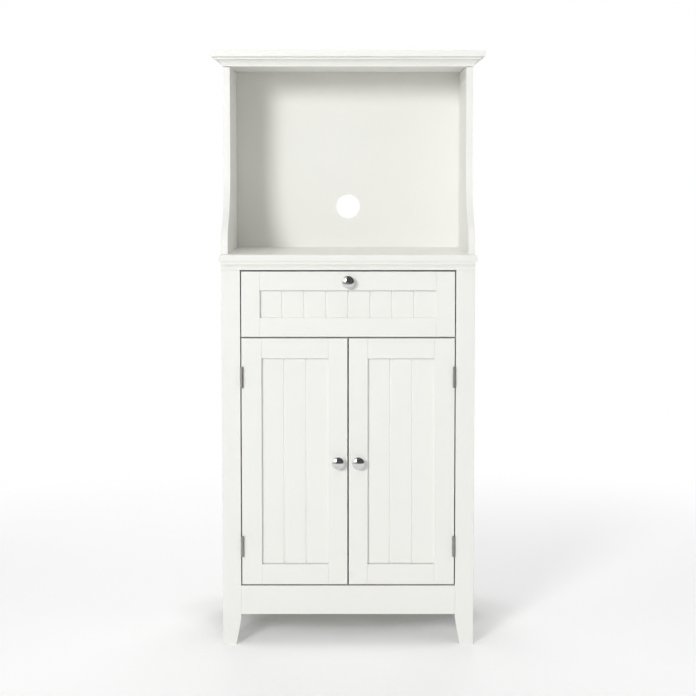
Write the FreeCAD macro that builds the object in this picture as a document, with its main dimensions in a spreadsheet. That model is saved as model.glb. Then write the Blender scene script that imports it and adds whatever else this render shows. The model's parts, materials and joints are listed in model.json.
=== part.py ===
"""Microwave stand: a cupboard with two doors and a drawer, and an open hutch for the microwave on top.

Millimetres. X runs to the right, Y to the back, Z up. The origin is on the floor, under the middle of
the stand: half its width, and half its depth from the knobs' faces to the back.
"""
import FreeCAD, Part
import math
import os
import Sketcher

doc = FreeCAD.newDocument("microwave_stand")
sheet = doc.addObject("Spreadsheet::Sheet", "size")

SIZES = {
    # the whole stand
    "body_wide": 584,           # over the legs, and over the hutch sides
    "body_deep": 385,           # from the face of the legs to the back
    "counter_height": 912,      # floor to the counter's top
    "hutch_clear": 435,         # counter's top to the underside of the hutch top
    "board": 15,                # carcass board
    "frame_thick": 18,          # legs, rails, doors and the drawer's front
    "back_thick": 6,            # both back panels
    "back_inset": 1,            # the back panels lie this far inside the boards' rear edges
    "back_lap": 8,              # width of the rebates that take the back panels
    "back_play": 0.5,           # gap between a back panel and the wall of its rebate
    # legs, aprons and the cut-outs that make the feet
    "leg_wide": 43,
    "side_foot": 45,            # a foot's width on the side panel, above its taper
    "foot_taper": 10.2,         # degrees
    "foot_curve": 110,          # radius that leads into the taper
    "apron_low": 72,
    "apron_tall": 67,
    # counter
    "counter_thick": 16,
    "counter_nose": 15,         # the counter's overhang in front
    "counter_wing": 4,          # the counter's overhang at each side
    "counter_round": 5,
    "strip_tall": 20,           # moulding under the counter
    "strip_reach": 12,
    "strip_bead": 7,
    "strip_step": 2.5,
    "strip_toe": 4,
    "strip_cove": 14,
    # hutch
    "hutch_setback": 110,       # the hutch sides' front edge, at the top, behind the legs' face
    "hutch_toe": 5,             # the same, at the counter
    "toe_tall": 18,             # upright part of the front edge over the counter
    "sweep_tall": 180,          # height of the S-curve
    "sweep_turn": 0.3,          # share of it below the place where the S turns
    "cable_hole": 60,           # diameter
    "cable_height": 102,         # its centre above the counter
    # cornice
    "slab_thick": 16,
    "slab_reach": 28,
    "slab_round": 2.5,
    "core_thick": 21,
    "cove_reach": 19,
    "cove_bead": 5,
    "cove_step": 3.5,
    "cove_toe": 2.5,
    "cove_foot": 2.5,
    "cove_curve": 22,
    # doors and the drawer's front
    "reveal": 3.5,              # gaps above, between and below the fronts
    "hinge_gap": 2.5,           # gap between a leg and a door, or the drawer's front
    "meeting_gap": 3,           # gap between the two doors
    "drawer_tall": 151,
    "door_stile": 46.5,         # on the hinges' side
    "meeting_stile": 44,
    "door_rail": 47,
    "drawer_stile": 43,
    "drawer_rail": 44,
    "panel_recess": 9,
    "panel_thick": 5.5,
    "panel_tongue": 8,
    "panel_play": 0.5,
    "bead_wide": 5,
    "bead_deep": 1.8,
    "door_boards": 3,
    "drawer_boards": 8,
    # knobs
    "knob_reach": 26,
    "knob_head": 14.5,          # radius
    "knob_back": 18,            # back of the head from the front that it is on
    "knob_rim": 22,             # where the head begins to close in
    "knob_crown": 9,            # radius of the flat in the middle of the head
    "knob_neck": 5.5,           # radius
    "knob_drop": 23,            # below the top of the drawer's front
    # hinges
    "hinge_long": 48,
    "hinge_inset": 90,          # a hinge's middle from the door's end
    "hinge_ahead": 4,           # the pin's distance in front of the doors' face
    "hinge_over": 1.25,         # and in from the door's edge
    "barrel": 3.4,              # radius
    "pin": 1.5,                 # radius
    "pin_play": 0.05,
    "knuckle": 19,              # the door's knuckle
    "knuckle_gap": 0.5,
    "leaf_thick": 1.4,
    "leaf_deep": 16,
    "leaf_inner": 11.5,         # depth of the door's leaf
    "leaf_gap": 1,
    # drawer box
    "box_board": 12,
    "box_short": 5,             # the box ends this far in front of its runners
    "box_tall": 105,
    "bottom_thick": 4,
    "bottom_lift": 10,          # the groove above the sides' lower edge
    "groove_deep": 5,
    "groove_play": 0.4,
    # runners
    "runner_space": 12.5,       # between the drawer's side and the leg's inner edge
    "runner_long": 350,
    "runner_start": 2,          # behind the legs
    "runner_lift": 3,           # over the divider
    "sheet_thick": 1.2,
    "roller": 9,                # radius
    "roller_wide": 6.5,
    "roller_play": 0.4,         # at each end of a roller
    "roller_inset": 12,         # its axle from the runner's end
    "track_play": 0.3,          # between a roller and the flange over or under it
    "roller_lift": 0.5,         # between the cabinet's roller and its own runner
    "axle": 2.5,                # radius
    "axle_play": 0.05,
    "axle_head": 4,             # radius
    "axle_cap": 0.8,
    "lower_flange": 10.6,
    "upper_flange": 5.1,
    "track_flange": 6.9,
    "lip_flange": 12,
    "web_below": 5.5,           # the drawer runner's web under the axle
    "batten_tall": 40,
    "divider_dado": 5,          # the divider's ends are let into the side panels
    # inside the cupboard
    "stop_gap": 0.5,            # between the divider and the fronts that close on it
    "shelf_height": 420,        # floor to the shelf's underside
    "shelf_setback": 12,
    "shelf_play": 1.5,
    "shelf_pin": 2.5,           # radius
    "shelf_pin_deep": 8,
    "shelf_pin_out": 8,
    "pin_rows": 3,
    "pin_pitch": 32,
    "pin_inset": 50,            # from the legs and from the back panel
    # fittings that hold the boards together
    "cam": 7.5,                 # radius
    "cam_deep": 12,
    "cam_inset": 34,
    "cam_front": 40,            # the front cam behind the side's front edge
    "cam_pitch": 110,
    "cam_bolt": 2.5,            # radius
    "cam_bolt_deep": 11,        # its reach into the hutch top
    "dowel": 4,                 # radius
    "dowel_deep": 12,           # in each board
    "dowel_front": 25,          # from the hutch side's front edge
    "dowel_back": 80,           # from the back panel
    # magnetic catches
    "catch_wide": 44,
    "catch_deep": 14,
    "catch_tall": 12,
    "catch_gap": 0.3,
    "catch_off": 29,            # from the stand's middle
    "strike_thick": 1.2,
    "strike_wide": 30,
}
for row, (alias, number) in enumerate(SIZES.items(), 1):
    sheet.set(f"A{row}", alias)
    sheet.set(f"B{row}", str(number))
    sheet.setAlias(f"B{row}", alias)
doc.recompute()

# Places worked out from the sizes, as expressions that the document keeps.
FRONT = "(size.knob_reach - size.body_deep) / 2"
BACK = f"({FRONT} + size.body_deep)"
FRAME_BACK = f"({FRONT} + size.frame_thick)"
PANEL_FACE = f"({BACK} - size.back_inset - size.back_thick)"
HUTCH_FRONT = f"({FRONT} + size.hutch_setback)"
HALF = "(size.body_wide / 2)"
INNER = f"({HALF} - size.board)"
JAMB = f"({HALF} - size.leg_wide)"
COUNTER_LOW = "(size.counter_height - size.counter_thick)"
OPENING_TOP = f"({COUNTER_LOW} - size.strip_tall)"
APRON_TOP = "(size.apron_low + size.apron_tall)"
FLOOR_LOW = f"({APRON_TOP} - size.board)"
DRAWER_TOP = f"({OPENING_TOP} - size.reveal)"
DRAWER_LOW = f"({DRAWER_TOP} - size.drawer_tall)"
DOOR_TOP = f"({DRAWER_LOW} - size.reveal)"
DOOR_LOW = f"({APRON_TOP} + size.reveal)"
DIVIDER_LOW = f"({DRAWER_LOW} - (size.reveal + size.board) / 2)"
DIVIDER_TOP = f"({DIVIDER_LOW} + size.board)"
DIVIDER_FRONT = f"({FRAME_BACK} + size.stop_gap)"
HUTCH_TOP = "(size.counter_height + size.hutch_clear)"
SLAB_LOW = f"({HUTCH_TOP} + size.core_thick)"
CURVE_WIDE = "(size.foot_curve * (1 - cos(size.foot_taper * 1 deg)))"
CURVE_TALL = "(size.foot_curve * sin(size.foot_taper * 1 deg))"
FOOT_LOSS = f"({CURVE_WIDE} + (size.apron_low - {CURVE_TALL}) * tan(size.foot_taper * 1 deg))"


def value(expression):
    """The number that an expression has now."""
    return float(sheet.evalExpression(expression))


def body(name):
    piece = doc.addObject("PartDesign::Body", name)
    piece.Label = name
    return piece


def origin_feature(piece, role):
    return next(item for item in piece.Origin.OriginFeatures if item.Role == role)


def sketch_on(piece, plane, level, outlines=(), circles=(), axis=None):
    """A sketch on one of the body's own planes, moved to a level along that plane's axis.

    An outline is a list of (across, up) points. A third entry (radius, turn) makes the edge to the next
    point an arc whose centre is left (turn 1) or right (turn -1) of the way. A circle is
    (across, up, radius). An axis is two points, drawn as a construction line.
    """
    sketch = piece.newObject("Sketcher::SketchObject", piece.Name + "_sketch")
    sketch.AttachmentSupport = [(origin_feature(piece, plane), "")]
    sketch.MapMode = "FlatFace"
    sign = "-" if plane == "XZ_Plane" else ""
    sketch.setExpression("AttachmentOffset.Base.z", f"{sign}({level})")

    def pin(index, end, across, up):
        for kind, place in (("DistanceX", across), ("DistanceY", up)):
            made = sketch.addConstraint(Sketcher.Constraint(kind, -1, 1, index, end, value(place)))
            sketch.setExpression(f"Constraints[{made}]", place)

    if axis:
        ends = [FreeCAD.Vector(value(across), value(up), 0) for across, up in axis]
        line = sketch.addGeometry(Part.LineSegment(*ends), True)
        for end, (across, up) in enumerate(axis, 1):
            pin(line, end, across, up)
    for outline in outlines:
        spots = [FreeCAD.Vector(value(point[0]), value(point[1]), 0) for point in outline]
        edges = []
        for number, point in enumerate(outline):
            here, there = spots[number], spots[(number + 1) % len(spots)]
            if len(point) == 2:
                edges.append((sketch.addGeometry(Part.LineSegment(here, there), False), 1, 2))
                continue
            radius, turn = point[2]
            way = there - here
            left = FreeCAD.Vector(-way.y, way.x, 0) / way.Length
            rise = math.sqrt(value(radius) ** 2 - (way.Length / 2) ** 2)
            centre = (here + there) / 2 + left * rise * turn
            first, last = (here, there) if turn > 0 else (there, here)
            angles = [math.atan2(spot.y - centre.y, spot.x - centre.x) for spot in (first, last)]
            circle = Part.Circle(centre, FreeCAD.Vector(0, 0, 1), value(radius))
            index = sketch.addGeometry(Part.ArcOfCircle(circle, *angles), False)
            made = sketch.addConstraint(Sketcher.Constraint("Radius", index, value(radius)))
            sketch.setExpression(f"Constraints[{made}]", radius)
            edges.append((index, 1, 2) if turn > 0 else (index, 2, 1))
        for number, (index, start, _) in enumerate(edges):
            before = edges[number - 1]
            sketch.addConstraint(Sketcher.Constraint("Coincident", before[0], before[2], index, start))
            pin(index, start, *outline[number][:2])
    for across, up, radius in circles:
        centre = FreeCAD.Vector(value(across), value(up), 0)
        circle = Part.Circle(centre, FreeCAD.Vector(0, 0, 1), value(radius))
        index = sketch.addGeometry(circle, False)
        made = sketch.addConstraint(Sketcher.Constraint("Radius", index, value(radius)))
        sketch.setExpression(f"Constraints[{made}]", radius)
        pin(index, 3, across, up)
    return sketch


def pad(piece, plane, start, end, outlines=(), circles=()):
    """Solid between two levels along the plane's axis."""
    low, high = sorted((start, end), key=value)
    sketch = sketch_on(piece, plane, high if plane == "XZ_Plane" else low, outlines, circles)
    feature = piece.newObject("PartDesign::Pad", piece.Name + "_pad")
    feature.Profile = sketch
    feature.setExpression("Length", f"({high}) - ({low})")
    return feature


def pocket(piece, plane, start, end, outlines=(), circles=()):
    """Cut between two levels along the plane's axis."""
    low, high = sorted((start, end), key=value)
    sketch = sketch_on(piece, plane, low if plane == "XZ_Plane" else high, outlines, circles)
    feature = piece.newObject("PartDesign::Pocket", piece.Name + "_pocket")
    feature.Profile = sketch
    feature.setExpression("Length", f"({high}) - ({low})")
    return feature


def turned(piece, plane, level, start, way, profile, cut=False):
    """A turned solid or hole. The profile is (along, radius) points from the start; its arcs turn as
    an outline's do. The way is (1, 0), (-1, 0), (0, 1) or (0, -1) in the plane."""
    along_x, along_y = way
    outline = []
    for point in profile:
        along, radius = point[:2]
        across = f"{start[0]} + {along_x} * ({along})" if along_x else f"{start[0]} + {radius}"
        up = f"{start[1]} + {along_y} * ({along})" if along_y else f"{start[1]} + {radius}"
        flip = 1 if (along_x, along_y) in ((1, 0), (0, -1)) else -1
        outline.append((across, up) + tuple((bend[0], bend[1] * flip) for bend in point[2:]))
    far = (f"{start[0]} + {along_x}", f"{start[1]} + {along_y}")
    sketch = sketch_on(piece, plane, level, [outline], axis=(start, far))
    kind = "Groove" if cut else "Revolution"
    feature = piece.newObject(f"PartDesign::{kind}", f"{piece.Name}_{kind.lower()}")
    feature.Profile = sketch
    feature.ReferenceAxis = (sketch, ["Axis0"])
    feature.Angle = 360
    return feature


def repeat(piece, feature, axis, length, count):
    """Copies of a feature in a row, the last one this length from the first."""
    pattern = piece.newObject("PartDesign::LinearPattern", piece.Name + "_row")
    pattern.Originals = [feature]
    pattern.Direction = (origin_feature(piece, axis), [""])
    pattern.setExpression("Length", length)
    pattern.setExpression("Occurrences", count)
    piece.Tip = pattern
    return pattern


def both_sides(piece, features=None):
    """Features of a body, or all of them, again on the other side of the stand, in the same body."""
    mirrored = piece.newObject("PartDesign::Mirrored", piece.Name + "_both")
    solids = [item for item in piece.Group if item.isDerivedFrom("PartDesign::FeatureAddSub")]
    mirrored.Originals = features or solids
    mirrored.MirrorPlane = (origin_feature(piece, "YZ_Plane"), [""])
    piece.Tip = mirrored
    return mirrored


def twin(name, source):
    """The right-hand piece, a mirror image of the left-hand one."""
    piece = doc.addObject("Part::Mirroring", name)
    piece.Label = name
    piece.Source = source
    piece.Base = FreeCAD.Vector(0, 0, 0)
    piece.Normal = FreeCAD.Vector(1, 0, 0)
    PIECES.append(piece)
    return piece


def rectangle(left, low, right, high):
    return [(left, low), (right, low), (right, high), (left, high)]


def board(name, left, right, front, back, low, high):
    """A plain board, cut to size."""
    piece = body(name)
    pad(piece, "XY_Plane", low, high, [rectangle(left, front, right, back)])
    PIECES.append(piece)
    return piece


def rounded(piece, radius, test):
    """Round the edges of the body's last feature whose middle passes the test."""
    doc.recompute()
    base = piece.Tip
    names = []
    for number, edge in enumerate(base.Shape.Edges, 1):
        middle = edge.valueAt((edge.FirstParameter + edge.LastParameter) / 2)
        if test(middle):
            names.append(f"Edge{number}")
    feature = piece.newObject("PartDesign::Fillet", piece.Name + "_fillet")
    feature.Base = (base, names)
    feature.setExpression("Radius", radius)
    return feature


def flats(across, up, radius, count=8):
    """A small peg or its hole, drawn as flats round a circle."""
    turns = [f"({360 * number / count} * 1 deg)" for number in range(count)]
    return [(f"{across} + {radius} * cos{turn}", f"{up} + {radius} * sin{turn}") for turn in turns]


PIECES = []

# ---- the base: legs, side panels, rails and the boards between them ----
left_leg = body("front_leg_left")
pad(left_leg, "XZ_Plane", FRONT, FRAME_BACK, [[
    (f"-{HALF}", "0"), (f"-{HALF}", COUNTER_LOW), (f"-{JAMB}", COUNTER_LOW),
    (f"-{JAMB}", "size.apron_low", ("size.foot_curve", -1)),
    (f"-{JAMB} - {CURVE_WIDE}", f"size.apron_low - {CURVE_TALL}"),
    (f"-{JAMB} - {FOOT_LOSS}", "0")]])
PIECES.append(left_leg)
twin("front_leg_right", left_leg)

left_panel = body("side_panel_left")
pad(left_panel, "YZ_Plane", f"-{HALF}", f"-{INNER}", [[
    (FRAME_BACK, "0"), (FRAME_BACK, COUNTER_LOW), (BACK, COUNTER_LOW), (BACK, "0"),
    (f"{BACK} - size.side_foot + {FOOT_LOSS}", "0"),
    (f"{BACK} - size.side_foot + {CURVE_WIDE}", f"size.apron_low - {CURVE_TALL}", ("size.foot_curve", -1)),
    (f"{BACK} - size.side_foot", "size.apron_low"),
    (f"{FRAME_BACK} + size.side_foot", "size.apron_low", ("size.foot_curve", -1)),
    (f"{FRAME_BACK} + size.side_foot - {CURVE_WIDE}", f"size.apron_low - {CURVE_TALL}"),
    (f"{FRAME_BACK} + size.side_foot - {FOOT_LOSS}", "0")]])
pocket(left_panel, "XY_Plane", FLOOR_LOW, COUNTER_LOW, [
    rectangle(f"-{INNER} - size.back_lap", PANEL_FACE, f"-{INNER}", BACK)])
PIN_SPOTS = (f"{FRAME_BACK} + size.pin_inset", f"{PANEL_FACE} - size.pin_inset")
PIN_LEVEL = "(size.shelf_height - size.shelf_pin)"
for spot in PIN_SPOTS:
    hole = pocket(left_panel, "YZ_Plane", f"-{INNER} - size.shelf_pin_deep", f"-{INNER}", [
        flats(spot, f"{PIN_LEVEL} - (size.pin_rows - 1) / 2 * size.pin_pitch", "size.shelf_pin")])
    repeat(left_panel, hole, "Z_Axis", "(size.pin_rows - 1) * size.pin_pitch", "size.pin_rows")
pocket(left_panel, "YZ_Plane", f"-{INNER} - size.divider_dado", f"-{INNER}", [
    rectangle(DIVIDER_FRONT, DIVIDER_LOW, PANEL_FACE, DIVIDER_TOP)])
PIECES.append(left_panel)
twin("side_panel_right", left_panel)

board("apron", f"-{JAMB}", JAMB, FRONT, FRAME_BACK, "size.apron_low", APRON_TOP)
board("top_rail", f"-{JAMB}", JAMB, FRONT, FRAME_BACK, OPENING_TOP, COUNTER_LOW)
board("rear_apron", f"-{INNER}", INNER, f"{PANEL_FACE} - size.board", PANEL_FACE, "size.apron_low", FLOOR_LOW)
board("base_back", f"-{INNER} - size.back_lap + size.back_play", f"{INNER} + size.back_lap - size.back_play",
      PANEL_FACE, f"{PANEL_FACE} + size.back_thick", FLOOR_LOW, COUNTER_LOW)

board("divider_panel", f"-{INNER} - size.divider_dado", f"{INNER} + size.divider_dado",
      DIVIDER_FRONT, PANEL_FACE, DIVIDER_LOW, DIVIDER_TOP)
board("bottom_panel", f"-{INNER}", INNER, FRAME_BACK, PANEL_FACE, FLOOR_LOW, APRON_TOP)
board("shelf", f"-{INNER} + size.shelf_play", f"{INNER} - size.shelf_play",
      f"{FRAME_BACK} + size.shelf_setback", f"{PANEL_FACE} - size.shelf_play",
      "size.shelf_height", "size.shelf_height + size.board")
shelf_pins = body("shelf_pins")
pad(shelf_pins, "YZ_Plane", f"-{INNER} - size.shelf_pin_deep", f"-{INNER} + size.shelf_pin_out",
    [flats(spot, PIN_LEVEL, "size.shelf_pin") for spot in PIN_SPOTS])
both_sides(shelf_pins)
PIECES.append(shelf_pins)

# ---- the counter and the moulding under its front edge ----
MIDDLE = f"(-{HALF} + size.board / 2)"
DOWEL_SPOTS = (f"{FRONT} + size.hutch_toe + size.dowel_front", f"{PANEL_FACE} - size.dowel_back")
DOWELS = [flats(MIDDLE, spot, "size.dowel") for spot in DOWEL_SPOTS]
counter = board("counter_top", f"-{HALF} - size.counter_wing", f"{HALF} + size.counter_wing",
                f"{FRONT} - size.counter_nose", BACK, COUNTER_LOW, "size.counter_height")
rounded(counter, "size.counter_round",
        lambda middle: middle.z > value("size.counter_height") - 1 and middle.y < value(BACK) - 1)

DOWEL_LOW = "(size.counter_height - size.dowel_deep)"
dowel_holes = pocket(counter, "XY_Plane", DOWEL_LOW, "size.counter_height", DOWELS)
both_sides(counter, [dowel_holes])

strip = body("counter_moulding")
pad(strip, "YZ_Plane", f"-{HALF}", HALF, [[
    (FRONT, OPENING_TOP), (FRONT, COUNTER_LOW), (f"{FRONT} - size.strip_reach", COUNTER_LOW),
    (f"{FRONT} - size.strip_reach", f"{COUNTER_LOW} - size.strip_bead"),
    (f"{FRONT} - size.strip_reach + size.strip_step", f"{COUNTER_LOW} - size.strip_bead",
     ("size.strip_cove", -1)),
    (f"{FRONT} - size.strip_toe", f"{OPENING_TOP} + size.strip_toe"),
    (f"{FRONT} - size.strip_toe", OPENING_TOP)]])
PIECES.append(strip)

# ---- the hutch: two sides with S-curved front edges, a back with the cable hole, and the top ----
left_side = body("hutch_side_left")
SWEEP_DEEP = "(size.hutch_setback - size.hutch_toe)"
SWEEP = f"(({SWEEP_DEEP} * {SWEEP_DEEP} + size.sweep_tall * size.sweep_tall) / (2 * {SWEEP_DEEP}))"
pad(left_side, "YZ_Plane", f"-{HALF}", f"-{INNER}", [[
    (f"{FRONT} + size.hutch_toe", "size.counter_height"),
    (f"{FRONT} + size.hutch_toe", "size.counter_height + size.toe_tall", (f"{SWEEP} * size.sweep_turn", -1)),
    (f"{FRONT} + size.hutch_toe + {SWEEP_DEEP} * size.sweep_turn",
     "size.counter_height + size.toe_tall + size.sweep_tall * size.sweep_turn",
     (f"{SWEEP} * (1 - size.sweep_turn)", 1)),
    (HUTCH_FRONT, "size.counter_height + size.toe_tall + size.sweep_tall"),
    (HUTCH_FRONT, HUTCH_TOP), (BACK, HUTCH_TOP), (BACK, "size.counter_height")]])
pocket(left_side, "XY_Plane", "size.counter_height", HUTCH_TOP, [
    rectangle(f"-{INNER} - size.back_lap", PANEL_FACE, f"-{INNER}", BACK)])
CAM_SPOTS = (f"{HUTCH_FRONT} + size.cam_front", f"{HUTCH_FRONT} + size.cam_front + size.cam_pitch")
CAM_BOLTS = [flats(MIDDLE, spot, "size.cam_bolt") for spot in CAM_SPOTS]
CAMS = [flats(spot, f"{HUTCH_TOP} - size.cam_inset", "size.cam", 12) for spot in CAM_SPOTS]
pocket(left_side, "YZ_Plane", f"-{INNER} - size.cam_deep", f"-{INNER}", CAMS)
pocket(left_side, "XY_Plane", f"{HUTCH_TOP} - size.cam_inset", HUTCH_TOP, CAM_BOLTS)
pocket(left_side, "XY_Plane", "size.counter_height", "size.counter_height + size.dowel_deep", DOWELS)
PIECES.append(left_side)
twin("hutch_side_right", left_side)

hutch_back = board("hutch_back", f"-{INNER} - size.back_lap + size.back_play",
                   f"{INNER} + size.back_lap - size.back_play", PANEL_FACE,
                   f"{PANEL_FACE} + size.back_thick", "size.counter_height", SLAB_LOW)
pocket(hutch_back, "XZ_Plane", PANEL_FACE, f"{PANEL_FACE} + size.back_thick", circles=[
    ("0", "size.counter_height + size.cable_height", "size.cable_hole / 2")])

hutch_top = board("hutch_top", f"-{HALF}", HALF, HUTCH_FRONT, PANEL_FACE, HUTCH_TOP, SLAB_LOW)
bolt_holes = pocket(hutch_top, "XY_Plane", HUTCH_TOP, f"{HUTCH_TOP} + size.cam_bolt_deep", CAM_BOLTS)
both_sides(hutch_top, [bolt_holes])

# ---- cam locks that draw the hutch sides up to the top, and dowels that stand them on the counter ----
cam_locks = body("cam_locks")
pad(cam_locks, "YZ_Plane", f"-{INNER} - size.cam_deep", f"-{INNER}", CAMS)
cam_bolts = body("cam_bolts")
pad(cam_bolts, "XY_Plane", f"{HUTCH_TOP} - size.cam_inset", f"{HUTCH_TOP} + size.cam_bolt_deep", CAM_BOLTS)
pocket(cam_bolts, "YZ_Plane", f"-{HALF}", f"-{INNER}", CAMS)
dowels = body("dowels")
pad(dowels, "XY_Plane", DOWEL_LOW, "size.counter_height + size.dowel_deep", DOWELS)
for piece in (cam_locks, cam_bolts, dowels):
    both_sides(piece)
    PIECES.append(piece)

# ---- the cornice: mitred cove mouldings round the top, under an overhanging slab ----
def cove(face, way, turn):
    """The moulding's section, from the face that it is glued to, out to its bead."""
    return [(face, HUTCH_TOP), (face, SLAB_LOW),
            (f"{face} + {way} * size.cove_reach", SLAB_LOW),
            (f"{face} + {way} * size.cove_reach", f"{SLAB_LOW} - size.cove_bead"),
            (f"{face} + {way} * (size.cove_reach - size.cove_step)", f"{SLAB_LOW} - size.cove_bead",
             ("size.cove_curve", turn)),
            (f"{face} + {way} * size.cove_toe", f"{HUTCH_TOP} + size.cove_foot"),
            (f"{face} + {way} * size.cove_toe", HUTCH_TOP)]


MITRE_OUT = "(size.cove_reach + 1)"
front_cove = body("cornice_moulding_front")
pad(front_cove, "YZ_Plane", f"-{HALF} - size.cove_reach", f"{HALF} + size.cove_reach",
    [cove(HUTCH_FRONT, -1, -1)])
mitre = pocket(front_cove, "XY_Plane", HUTCH_TOP, SLAB_LOW, [[
    (f"-{HALF}", HUTCH_FRONT), (f"-{HALF} - {MITRE_OUT}", f"{HUTCH_FRONT} - {MITRE_OUT}"),
    (f"-{HALF} - {MITRE_OUT}", HUTCH_FRONT)]])
both_sides(front_cove, [mitre])
PIECES.append(front_cove)

left_cove = body("cornice_moulding_left")
pad(left_cove, "XZ_Plane", f"{HUTCH_FRONT} - size.cove_reach", BACK, [cove(f"-{HALF}", -1, -1)])
pocket(left_cove, "XY_Plane", HUTCH_TOP, SLAB_LOW, [[
    (f"-{HALF}", HUTCH_FRONT), (f"-{HALF}", f"{HUTCH_FRONT} - {MITRE_OUT}"),
    (f"-{HALF} - {MITRE_OUT}", f"{HUTCH_FRONT} - {MITRE_OUT}")]])
PIECES.append(left_cove)
twin("cornice_moulding_right", left_cove)

slab = board("cornice_board", f"-{HALF} - size.slab_reach", f"{HALF} + size.slab_reach",
             f"{HUTCH_FRONT} - size.slab_reach", BACK, SLAB_LOW, f"{SLAB_LOW} + size.slab_thick")
rounded(slab, "size.slab_round", lambda middle: middle.y < value(BACK) - 1 and (
    abs(middle.z - value(SLAB_LOW)) < 0.1 or abs(middle.z - value(f"{SLAB_LOW} + size.slab_thick")) < 0.1))

# ---- frame-and-panel fronts: stiles and rails grooved for a beadboard panel ----
GROOVE_FRONT = f"({FRONT} + size.panel_recess)"
GROOVE_BACK = f"({GROOVE_FRONT} + size.panel_thick)"


def stile(name, outer, inner, low, high):
    """An upright of a front, grooved along its inner edge."""
    way = "+" if value(inner) < value(outer) else "-"
    piece = body(name)
    pad(piece, "XY_Plane", low, high, [[
        (outer, FRONT), (outer, FRAME_BACK), (inner, FRAME_BACK), (inner, GROOVE_BACK),
        (f"{inner} {way} size.panel_tongue", GROOVE_BACK), (f"{inner} {way} size.panel_tongue", GROOVE_FRONT),
        (inner, GROOVE_FRONT), (inner, FRONT)]])
    return piece


def rails(name, left, right, low, high, tall):
    """The two rails of a front, with stub tenons in the stiles' grooves."""
    piece = body(name)
    for outer, inner, way in ((low, f"{low} + {tall}", "-"), (high, f"{high} - {tall}", "+")):
        pad(piece, "YZ_Plane", f"{left} - size.panel_tongue", f"{right} + size.panel_tongue", [[
            (FRONT, outer), (FRAME_BACK, outer), (FRAME_BACK, inner), (GROOVE_BACK, inner),
            (GROOVE_BACK, f"{inner} {way} size.panel_tongue"),
            (GROOVE_FRONT, f"{inner} {way} size.panel_tongue"), (GROOVE_FRONT, inner), (FRONT, inner)]])
    for start, end in ((f"{left} - size.panel_tongue", left), (right, f"{right} + size.panel_tongue")):
        pocket(piece, "XY_Plane", low, high, [rectangle(start, FRONT, end, GROOVE_FRONT),
                                              rectangle(start, GROOVE_BACK, end, FRAME_BACK)])
    PIECES.append(piece)
    return piece


def beadboard(name, left, right, low, high, boards):
    """A panel with V-grooves that split it into equal boards, held in the frame's grooves."""
    piece = body(name)
    edge = "size.panel_tongue - size.panel_play"
    pad(piece, "XY_Plane", f"{low} - ({edge})", f"{high} + {edge}", [
        rectangle(f"{left} - ({edge})", GROOVE_FRONT, f"{right} + {edge}", GROOVE_BACK)])
    pitch = f"(({right} - ({left})) / {boards})"
    first = pocket(piece, "XY_Plane", f"{low} - ({edge})", f"{high} + {edge}", [[
        (f"{left} + {pitch} - size.bead_wide / 2", GROOVE_FRONT),
        (f"{left} + {pitch} + size.bead_wide / 2", GROOVE_FRONT),
        (f"{left} + {pitch}", f"{GROOVE_FRONT} + size.bead_deep")]])
    repeat(piece, first, "X_Axis", f"{pitch} * ({boards} - 2)", f"{boards} - 1")
    PIECES.append(piece)
    return piece


def knob(name, across, up):
    """A turned knob on the front's face: a neck and a broad head with a bevelled edge."""
    piece = body(name)
    turned(piece, "YZ_Plane", across, (FRONT, up), (-1, 0), [
        ("0", "0"), ("0", "size.knob_neck"), ("size.knob_back", "size.knob_neck"),
        ("size.knob_back", "size.knob_head"), ("size.knob_rim", "size.knob_head"),
        ("size.knob_reach", "size.knob_crown"), ("size.knob_reach", "0")])
    PIECES.append(piece)
    return piece


# ---- the doors, the left one drawn and the right one its mirror image ----
DOOR_OUT = f"(-{JAMB} + size.hinge_gap)"
DOOR_IN = "(-size.meeting_gap / 2)"
PANEL_LEFT = f"({DOOR_OUT} + size.door_stile)"
PANEL_RIGHT = f"({DOOR_IN} - size.meeting_stile)"
PANEL_LOW = f"({DOOR_LOW} + size.door_rail)"
PANEL_HIGH = f"({DOOR_TOP} - size.door_rail)"
KNOB_X = f"({DOOR_IN} - size.meeting_stile / 2)"
KNOB_Z = f"(({DOOR_LOW} + {DOOR_TOP}) / 2)"
PIN_X = f"({DOOR_OUT} + size.hinge_over)"
PIN_Y = f"({FRONT} - size.hinge_ahead)"
HINGES = (f"({DOOR_LOW} + size.hinge_inset)", f"({DOOR_TOP} - size.hinge_inset)")
LEAF_END = f"({PIN_Y} + size.leaf_deep)"
LEAF_INNER_END = f"({PIN_Y} + size.leaf_inner)"

hinge_stile = stile("left_door_hinge_stile", DOOR_OUT, PANEL_LEFT, DOOR_LOW, DOOR_TOP)
PIECES.append(hinge_stile)

meeting_stile = stile("left_door_meeting_stile", DOOR_IN, PANEL_RIGHT, DOOR_LOW, DOOR_TOP)
PIECES.append(meeting_stile)

door_parts = [hinge_stile, meeting_stile]
door_parts.append(rails("left_door_rails", PANEL_LEFT, PANEL_RIGHT, DOOR_LOW, DOOR_TOP, "size.door_rail"))
door_parts.append(beadboard("left_door_panel", PANEL_LEFT, PANEL_RIGHT, PANEL_LOW, PANEL_HIGH,
                            "size.door_boards"))
door_parts.append(knob("left_door_knob", KNOB_X, KNOB_Z))

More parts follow.
